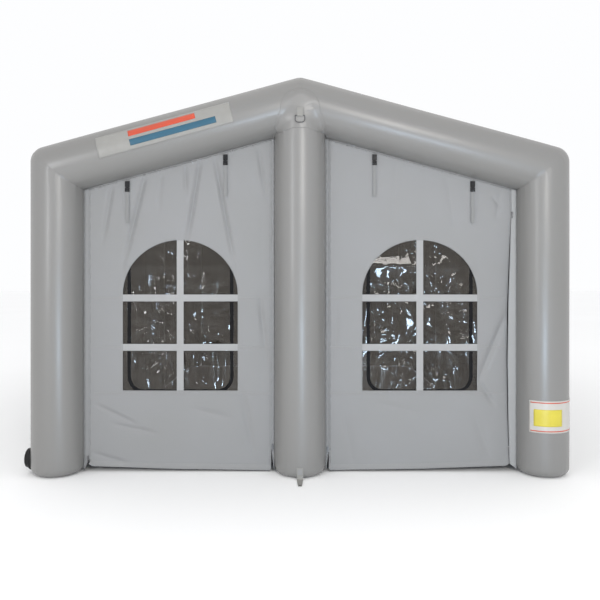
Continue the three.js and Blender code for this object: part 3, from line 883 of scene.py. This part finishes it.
def sew_front_wall(side, body, cloth, bottom, outer, top):
    """The hem, the three seams and all the rows of stitches."""
    trim(f"{body}_hem", cloth, [[(u, v + 0.022) for u, v in bottom]], HEM_WIDTH, "seam", body, 0.0010)
    left, right = side * WINDOW_X - WINDOW_HALF, side * WINDOW_X + WINDOW_HALF
    near, far = sorted((side * (INNER_EDGE + 0.004), side * (OUTER_EDGE - 0.030)))
    runs = []
    for z in SEAMS[:2]:
        runs += [[(near, z), (left - 0.004, z)], [(right + 0.004, z), (far, z)]]
    runs.append([(near, SEAMS[2]), (far, SEAMS[2])])
    trim(f"{body}_seams", cloth, runs, 0.016, "seam", body, 0.0007)
    rows = [[(u, v + 0.040) for u, v in bottom]]
    rows += [[(u, v + s) for u, v in run] for run in runs for s in (-0.0055, 0.0055)]
    inner = side * (INNER_EDGE + ROW_INSET)
    rows.append([(inner, 0.05), (inner, top[0][1] - 0.02)])
    rows.append([(u, v - 0.022) for u, v in top])
    rows.append([(u - side * ROW_INSET, v) for u, v in outer])
    border = window_outline(side, 0.010)
    stitch(f"{body}_stitches", cloth, [*rows, border + border[:1]], body, 0.0016)


def make_window(hand, side, body, cloth):
    """A window's bars, and behind it the film with the flap inside its black zip."""
    window, flap = f"front_{hand}_window", f"front_{hand}_window_flap"
    film = cloth.behind(FILM_GAP, wrinkles(side, 6 if side > 0 else 11))
    cut(f"{window}_rim_film", film, window_outline(side, 0.024), [zip_outline(side, ZIP_GAP)], FILM_STEP,
        "clear", body, [f"{window}_rim"], FILM)
    middle = side * WINDOW_X
    bars = [[(middle, ROWS[0][0] + 0.002), (middle, SPRING_Z + ARCH_RISE - 0.002)]]
    bars += [[(middle - WINDOW_HALF, z), (middle + WINDOW_HALF, z)] for z in SEAMS[:2]]
    trim(f"{window}_bars", cloth, bars, 2 * MULLION_HALF - 0.002, "bar", body, 0.0009)
    cut(f"{flap}_film", film, zip_outline(side, -ZIP_GAP), [], 0.007, "clear", flap, [flap], FILM)
    for name, owner, out in ((window, body, 1), (flap, flap, -1)):
        trim(f"{name}_tape", film, [zip_outline(side, out * TAPE_OUT)], 0.011, "black_zip", owner)
        trim(f"{name}_coil", film, [zip_outline(side, out * RAIL_OUT)], 0.0032, "black_zip", owner, 0.0016)


def make_zip_flaps():
    """The fixed flaps beside the legs and the post, and the white coils on both sides of each zip."""
    fixed = Cloth((0, -ARCH_Y, 0), (1, 0, 0), UP, lambda u, v: 0.0 * u)
    sliders = {("left", "outer"): 0.095, ("left", "inner"): 0.185, ("right", "inner"): 0.163}
    for hand, side in SIDES.items():
        wall = f"front_{hand}_wall"
        cloth = Cloth((0, -ARCH_Y, 0), (1, 0, 0), UP, front_depth(side))
        for where, root, free, partner in FLAPS:
            name = f"front_{hand}_{where}_zip_flap"
            slider_z = sliders.get((hand, where))
            if slider_z is None:         # the open zip: the flap follows the wall's free edge
                shape = [(root, 0.020), *[(x + 0.004, z) for z, x in OUTER_LINE]]
                line = [(side * (x - 0.0015), z) for z, x in OUTER_LINE]
            else:
                shape = [(root, 0.020), (root + (free - root) * 0.15, 0.020), (free, slider_z)]
                line = [(side * partner, 0.02 if where == "inner" else 0.11), (side * partner, slider_z)]
            shape += [(free, under(free) - 0.002), (root, under(root) - 0.002)]
            outline = [(side * x, z) for x, z in shape]
            if loop_turn(outline) < 0:
                outline = outline[::-1]
            # the open zip's flap takes the paler bar cloth instead of the wall cloth: painted light, so it
            # reads as a bright strip
            cut(f"{name}_cloth", fixed, outline, [], FINE_STEP, "cloth" if slider_z else "bar", "frame",
                [name])
            inset = math.copysign(0.0005, free - root)
            edge = [(side * (x - inset), z) for x, z in shape[1:-1]]
            edge[-1] = (edge[-1][0], edge[-1][1] - 0.010)
            trim(f"{name}_coil", fixed, [edge], COIL_WIDTH, "coil", "frame", COIL_HEIGHT)
            shift = math.copysign(0.0015, free - partner)
            line.append((side * (partner - shift), under(partner) - TOP_GAP - 0.008))
            trim(f"{wall}_{where}_coil", cloth, [line], COIL_WIDTH, "coil", wall, COIL_HEIGHT)


make_front_walls()
make_zip_flaps()


# ---------- side and back walls ----------
def room_depth(seed, width, height):
    """Shallow folds in a wall that is fixed along both sides and its top."""
    slow = swell(seed, 0.75, 0.030, 0.10)
    small = swell(seed + 1, 0.24, 0.006, 0.25)

    def depth(u, v):
        held = np.clip(u / 0.25, 0, 1) * np.clip((width - u) / 0.25, 0, 1)
        top = np.clip((height(u) - v) / 0.35, 0, 1)
        return (slow(u, v) + small(u, v)) * held * top

    return depth


def make_fixed_wall(name, origin, across, width, height, seed):
    """height(u) is the top edge's height at u along the wall."""
    cloth = Cloth(origin, across, UP, room_depth(seed, width, height))
    outline = [(0, 0.002), (width, 0.002), (width, height(width)), (0, height(0))]
    # the wall's inner face takes the near-black inside paint, which is painted shade
    cut(f"{name}_cloth", cloth, outline, [], 0.032, "cloth", "frame", [name], 0.0014, "inside_shade")
    hem = [(0.004, 0.024), (width - 0.004, 0.024)]
    sides = [[(u, 0.06), (u, height(u) - 0.02)] for u in (0.016, width - 0.016)]
    top = [(u, height(u) - 0.018) for u in (0.03, width - 0.03)]
    middle = [[(0.035, z), (width - 0.035, z)] for z in (0.74, 1.42)]
    trim(f"{name}_hem", cloth, [hem], HEM_WIDTH, "seam", "frame", 0.0012, 0.02)
    trim(f"{name}_tapes", cloth, [*sides, top], 0.030, "tape", "frame", 0.0008, 0.02)
    trim(f"{name}_seams", cloth, middle, 0.018, "seam", "frame", 0.0008, 0.02)
    rows = [[(u, v + s) for u, v in run] for run in middle for s in (-0.006, 0.006)]
    rows.append([(0.02, 0.052), (width - 0.02, 0.052)])
    stitch(f"{name}_stitches", cloth, rows, "frame", 0.0018, 0.007, 0.004, 0.0012)


def make_walls():
    seed = 200
    tuck = 0.004                         # how far a wall reaches past its CAD box at each side
    for hand, side in SIDES.items():
        for name in (f"{hand}_front_wall", f"{hand}_back_wall"):
            seed += 2
            low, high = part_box(name)
            start = low.y - tuck if side > 0 else high.y + tuck
            make_fixed_wall(name, (side * LEG_X, start, 0), (0, side, 0), high.y - low.y + 2 * tuck,
                            lambda u: EAVE_Z - R - 0.0015 + 0.0 * u, seed)
        seed += 2
        low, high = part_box(f"back_{hand}_wall")
        start = high.x + tuck
        make_fixed_wall(f"back_{hand}_wall", (start, ARCH_Y, 0), (-1, 0, 0), high.x - low.x + 2 * tuck,
                        lambda u, start=start: under(start - u) - 0.002, seed)


# ---------- roof ----------
ROOF_LIFT = 0.1915
ROOF_DROP = 0.055                        # the roof's lower edge, round past the eave beam's crest
ROOF_SAG = 0.046


def make_roof():
    slope_length = LEG_X / COS
    down = np.concatenate([np.linspace(-ROOF_DROP, 0, 5)[:-1], np.linspace(0, slope_length, 61)])
    rows_y = np.linspace(-ARCH_Y, ARCH_Y, 151)
    for hand, side in SIDES.items():
        d, over = rafter_direction(side), rafter_over(side)
        slow = swell(31 + side, 0.8, 0.010, 0.6, 6)
        fine = swell(37 + side, 0.28, 0.003, 0.6, 6)

        def surface(s, y, lift=0.0):
            """A point on the slope, s up from the eave beam's crest."""
            at = eave_point(side, y)
            if s < 0:
                turn = -s / ROOF_LIFT
                return at + (ROOF_LIFT + lift) * (math.cos(turn) * over - math.sin(turn) * d)
            belly = math.sin(math.pi * min(s / slope_length, 1.0)) ** 0.8
            belly *= abs(math.sin(math.pi * y / ARCH_Y)) ** 1.1
            loose = (slow(s, y) + fine(s, y)) * min(1.0, 2.5 * belly)
            return at + s * d + (ROOF_LIFT + lift - ROOF_SAG * belly - loose * 0.9) * over

        points = [surface(s, y) for y in rows_y for s in down]
        faces = grid_faces(len(rows_y), len(down), flip=side > 0)
        name = f"{hand}_roof_sheet"
        made = piece(f"{name}_cloth", points, faces, "roof", "frame", [name])
        # the roof's underside takes the near-black inside paint, which is painted shade
        solidify(made, 0.0014, -1.0, "inside_shade")
        ruled(f"{name}_hem", [[surface(s, y, 0.0015) for s in (-0.050, -0.020)]
                              for y in np.linspace(-ARCH_Y, ARCH_Y, 81)])
        for part, low, high in (("front", -ARCH_Y, -ARCH_Y + 0.04), ("back", ARCH_Y - 0.04, ARCH_Y),
                                ("middle", -0.03, 0.03)):
            ruled(f"{name}_{part}_tape", [[surface(s, y, 0.0012) for y in (low, high)]
                                          for s in np.linspace(0, slope_length, 81)])
    crest = RIDGE_Z + ROOF_LIFT / COS + 0.004
    ruled("ridge_cap", [[(x, y, crest - TAN * math.hypot(x, 0.02)) for x in (-0.06, -0.03, 0.0, 0.03, 0.06)]
                        for y in rows_y], 0.0014)


def ruled(name, rows, thickness=0.0012):
    """A tape on the roof, through rows of points."""
    points = [point for row in rows for point in row]
    made = piece(name, points, grid_faces(len(rows), len(rows[0])), "seam")
    return solidify(made, thickness)


# ---------- cords and tapes on the beams ----------
def tube_tape(name, x, place, top):
    """The welded tape on a standing tube's side that a wall is fixed to."""
    y = ARCHES[place] + (0.010 if place == "front" else -0.010)
    path = [(x, y, z) for z in np.linspace(0.10, top, 30)]
    band(name, path, 0.019, "tape", thickness=0.0009, across=(0, 1, 0))


def make_cords():
    for hand, side in SIDES.items():
        for place in ("front", "back"):
            path = [(side * x, ARCHES[place], under(x) - 0.0044) for x in np.linspace(0.197, 1.612, 12)]
            hose(f"{place}_{hand}_head_cord", path, 0.0042, "seam")
            tube_tape(f"{place}_{hand}_leg_tape", side * (LEG_X - R - 0.0006), place, under(1.62) - 0.01)
    for place in ("front", "back"):
        for hand, side in SIDES.items():
            tube_tape(f"{place}_post_{hand}_tape", side * (R + 0.0006), place, under(0.2) - 0.01)


# ---------- prints on the tubes ----------
PATCH_LIFT, PRINT_LIFT, LABEL_LIFT = 0.0017, 0.0024, 0.0023     # out from the tube


def wrap(name, paint, tube, reach, turn, lift=PRINT_LIFT):
    """A patch on a tube, from reach[0] to reach[1] along it and between two angles round it.

    A tube is (a point on its axis, its direction, outward at 0 degrees, outward at 90 degrees).
    """
    origin, d, out0, out90 = tube
    rows = max(2, int((reach[1] - reach[0]) / 0.01))
    columns = max(2, int((turn[1] - turn[0]) / 3.0))
    points = []
    for i in range(rows + 1):
        s = reach[0] + (reach[1] - reach[0]) * i / rows
        for j in range(columns + 1):
            angle = math.radians(turn[0] + (turn[1] - turn[0]) * j / columns)
            out = math.cos(angle) * out0 + math.sin(angle) * out90
            points.append(origin + s * d + (R + lift) * out)
    return solidify(piece(name, points, grid_faces(rows + 1, columns + 1), paint), 0.0004)


NODE_CENTRE = np.array([0.0, RIDGE_Z - 0.075])
NODE_REACH, NODE_EAR = 0.142, 0.088      # the cover's radius, and how much further it goes in the valleys
NODE_ROWS, NODE_SPOKES = 30, 144
NODE_BLEND = 0.085                       # how softly the cover bridges the joints, at its middle


def node_wrinkles(sign):
    """Creases that spread from the middle of a cover."""
    dice = random.Random(8 + sign)
    made = []
    for _ in range(16):
        turn = dice.uniform(-0.9, 0.9) - (0.6 if sign < 0 else 0.0)
        reach = dice.uniform(0.035, 0.07), dice.uniform(0.085, 0.14)
        ends = [NODE_CENTRE + r * np.array([math.cos(turn), math.sin(turn)]) for r in reach]
        made.append(crease(*ends, dice.uniform(0.005, 0.009), dice.uniform(0.0008, 0.0022)))
    return made


def node_depth(x, z, soft):
    """How far the joined tubes stand out at a place, with the joints blended over."""
    nearest = math.hypot(x, max(z - RIDGE_Z, 0.0))
    for side in (-1, 1):
        along = max(x * side * COS - (z - RIDGE_Z) * SIN, 0.0)
        gap = math.hypot(x - along * side * COS, z - RIDGE_Z + along * SIN)
        blend = max(soft - abs(nearest - gap), 0.0) / soft
        nearest = min(nearest, gap) - blend * blend * soft / 4
    return math.sqrt(R * R - min(max(nearest, 0.0), 0.186) ** 2)


def make_node_patches():
    """The welded cover where the two rafters and the post meet, smooth over the joints."""
    for place, sign in (("front", -1), ("back", 1)):
        wrinkled = node_wrinkles(sign)
        points = []
        for i in range(NODE_ROWS + 1):
            share = i / NODE_ROWS
            for turn in turns(NODE_SPOKES):
                valley = abs(abs(turn - 1.5 * math.pi) - math.radians(50)) / math.radians(20)
                r = share * (NODE_REACH + NODE_EAR * math.exp(-valley ** 2))
                x, z = NODE_CENTRE + r * np.array([math.cos(turn), math.sin(turn)])
                lift = 0.0022 - 0.0019 * share ** 2
                lift -= sum(float(line(x, z)[0]) for line in wrinkled) * (1.0 - share ** 6)
                depth = node_depth(x, z, NODE_BLEND * (1.0 - share ** 3) + 0.004)
                points.append((x, sign * (ARCH_Y + depth + max(lift, 0.0003)), z))
        faces = grid_faces(NODE_ROWS + 1, NODE_SPOKES, True, sign > 0)
        solidify(piece(f"{place}_node_patch", points, faces, "pvc"), 0.0003, -1.0)


def make_prints():
    front = np.array([0.0, -1.0, 0.0])
    rafter = (eave_point(-1, -ARCH_Y), rafter_direction(-1), front, rafter_over(-1))
    middle = (LEG_X - 0.97) / COS
    wrap("rafter_patch", "patch", rafter, (middle - 0.50, middle + 0.50), (-14, 36), PATCH_LIFT)
    wrap("rafter_patch_red_bar", "red_print", rafter, (middle - 0.26, middle + 0.24), (16, 31))
    wrap("rafter_patch_blue_bar", "blue_print", rafter, (middle - 0.26, middle + 0.38), (-5, 9))
    leg = (np.array([LEG_X, -ARCH_Y, 0.0]), UP, front, np.array([1.0, 0.0, 0.0]))
    wrap("leg_label", "label_white", leg, (0.330, 0.562), (-48, 90), PATCH_LIFT)
    for end, z in (("low", 0.344), ("high", 0.548)):
        wrap(f"leg_label_{end}_line", "red_print", leg, (z - 0.0035, z + 0.0035), (-45, 87), LABEL_LIFT)
    wrap("leg_label_block", "label_yellow", leg, (0.378, 0.500), (-38, 24), LABEL_LIFT)


# ---------- hardware ----------
def make_ring():
    bar_y, bar_z = -3.0067, 2.615
    half, drop, corner = 0.0345, 0.048, 0.022
    path = [(-half, 0.0), (half, 0.0)]
    path += arc((half - corner, corner - drop), corner, 0, -90, 9)
    path += arc((corner - half, corner - drop), corner, -90, -180, 9)
    wire = [(u, bar_y, bar_z + v) for u, v in walk(path, 0.003)]
    hose("lifting_ring_wire", wire, 0.003, "steel", "lifting_ring", ["lifting_ring"], True)
    turn = arc((bar_y, bar_z), 0.0048, 180, 360, 12)
    loop = [(-3.0118, 2.671), (-3.0118, 2.640), *turn, (-3.0018, 2.640), (-3.0018, 2.671)]
    band("lifting_ring_tab_webbing", [(0.0, y, z) for y, z in loop], 0.0205, "webbing",
         replaces=["lifting_ring_tab"], thickness=0.0020)
    patch = [(0.0, -3.0016, z) for z in (2.70, 2.67, 2.64, 2.60, 2.57)]
    band("lifting_ring_patch", patch, [0.030, 0.032, 0.032, 0.032, 0.030], "pvc", thickness=0.001)


# the anchor straps: out from the arch's front or back, height, half width
ANCHOR_LINE = [(0.0016, 0.085, 0.0245), (0.0018, 0.060, 0.0245), (0.0022, 0.030, 0.0240),
               (0.006, 0.008, 0.0230), (0.022, 0.0024, 0.0215), (0.060, 0.0020, 0.0190),
               (0.105, 0.0020, 0.0165), (0.146, 0.0020, 0.0130)]


def make_anchors():
    for place, sign in (("front", -1), ("back", 1)):
        y = sign * (ARCH_Y + R)
        smooth = finer([(0, y + sign * out, z, half) for out, z, half in ANCHOR_LINE])
        band(f"{place}_anchor_strap_webbing", smooth[:, :3], smooth[:, 3], "webbing",
             replaces=[f"{place}_anchor_strap"], thickness=0.0022)
        eyelet = [(0.006 * math.cos(t), y + sign * (0.132 + 0.006 * math.sin(t)), 0.0036) for t in turns(19)]
        hose(f"{place}_anchor_eyelet", eyelet, 0.0016, "steel", closed=True)
        stripes = [(0.0, y + sign * 0.0034, z) for z in (0.075, 0.055, 0.035)]
        band(f"{place}_anchor_stitches", stripes, 0.017, "seam", thickness=0.0005)


# the valves' outlines: radius, and how far out along the valve's axis
FLANGE = [(0.0001, -0.018), (0.086, -0.020), (0.0868, 0.002), (0.085, 0.006), (0.081, 0.009),
          (0.074, 0.012), (0.071, 0.020), (0.070, 0.030), (0.068, 0.0345), (0.064, 0.0365)]
INLET_MOUTH = [(0.0615, 0.030), (0.061, 0.004), (0.0001, 0.004)]
RELIEF_LID = [(0.055, 0.0365), (0.052, 0.041), (0.020, 0.044), (0.0001, 0.044)]
INLET_CAP = [(0.0001, 0.006), (0.052, 0.006), (0.0575, 0.010), (0.0585, 0.033), (0.057, 0.037),
             (0.053, 0.039), (0.024, 0.0385), (0.021, 0.043), (0.0001, 0.0445)]


def make_valves():
    inlet, relief = (-LEG_X - R, -ARCH_Y, 0.105), (LEG_X + R, ARCH_Y, 0.105)
    for name, body, profile, centre, x, ribs, depth in (
            ("inlet_body", "frame", FLANGE + INLET_MOUTH, inlet, -1, 36, 0.0012),
            ("relief_valve", "frame", FLANGE + RELIEF_LID, relief, 1, 36, 0.0012),
            ("inlet_cap", "inlet_cap", INLET_CAP, inlet, -1, 24, 0.0016)):
        lathe(f"{name}_shell", profile, centre, (x, 0, 0), "valve", body, [name], ribs, depth)


def make_tie_straps():
    for hand, side in SIDES.items():
        for where, place in BUCKLES.items():
            end = f"{hand}_{where}"
            x, top = side * place, under(place) - 0.0285
            sway = side * 0.001
            tie = [(x, -2.8195, top - 0.0780), (x + 0.0002, -2.8200, top - 0.12),
                   (x - sway, -2.8190, top - 0.17), (x + sway, -2.8197, top - 0.22),
                   (x, -2.8204, top - 0.27), (x - sway, -2.8196, top - 0.312)]
            # the tie and socket straps take the darker tie paint, which is painted shade
            strap = band(f"{end}_tie_strap_webbing", finer(tie), 0.012, "tie", f"{end}_buckle",
                         [f"{end}_tie_strap"])
            hold = [(x, -2.8126, top + 0.008), (x, -2.8155, top + 0.005), (x, -2.8190, top + 0.002),
                    (x, -2.8200, top - 0.004)]
            band(f"{end}_socket_strap", finer(hold), 0.012, "tie", f"front_{hand}_wall")


def finish_cad_parts():
    """Soften and colour the small moulded and metal parts that are kept from the CAD."""
    black = PAINT["black"].material
    metal = PAINT["slider"].material
    for hand in SIDES:
        for where in BUCKLES:
            for part, paint, width in (("buckle_socket", black, 0.0012), ("buckle_plug", black, 0.0010),
                                       ("zip_slider", metal, 0.0007)):
                kept = bpy.data.objects[f"{hand}_{where}_{part}"]
                for slot in kept.material_slots:
                    slot.material = paint
                bevel = kept.modifiers.new("soft edges", "BEVEL")
                bevel.width = width
                bevel.segments = 2
                bevel.limit_method = "ANGLE"


make_walls()
make_roof()
make_cords()
make_node_patches()
make_prints()
make_ring()
make_anchors()
make_valves()
make_tie_straps()
finish_cad_parts()

# ---------- light, floor and world ------------------
def area_light(name, place, target, size, power, color):
    data = bpy.data.lights.new(name, "AREA")
    data.shape = "RECTANGLE"
    data.size, data.size_y = size
    data.energy = power
    data.color = color
    lamp = add(name, data)
    lamp.location = place
    aim = Vector(target) - Vector(place)
    lamp.rotation_euler = aim.to_track_quat("-Z", "Y").to_euler()


def make_stage():
    reach = 60.0
    mesh = bpy.data.meshes.new("floor")
    corners = [(-reach, -reach, 0), (reach, -reach, 0), (reach, reach, 0), (-reach, reach, 0)]
    mesh.from_pydata(corners, [], [(0, 1, 2, 3)])
    floor = add("floor", mesh)
    floor.location.z = -0.002
    mesh.materials.append(Paint("floor", (0.97, 0.97, 0.97), 0.8).blotch(0.3, 0.01).material)
    world = bpy.data.worlds.new("studio")
    bpy.context.scene.world = world
    world.use_nodes = True
    background = world.node_tree.nodes["Background"]
    background.inputs["Color"].default_value = (0.985, 0.99, 1.0, 1.0)
    background.inputs["Strength"].default_value = 1.0
    area_light("sky", (0, -2, 9), (0, 0, 0), (9, 9), 60, (1.0, 0.98, 0.95))
    area_light("left_window", (-4.8, -10.0, 2.9), (0, -2.8, 1.3), (0.5, 3.0), 122, (0.97, 0.98, 1.0))
    area_light("right_window", (1.5, -10.3, 3.7), (0.4, -2.8, 1.3), (1.9, 2.0), 174, (1.0, 0.97, 0.93))
    area_light("low_window", (1.0, -9.0, 0.4), (0.9, -2.8, 0.4), (1.6, 0.4), 95, (0.62, 0.80, 1.0))
    bpy.context.scene.view_settings.view_transform = "Standard"


make_stage()
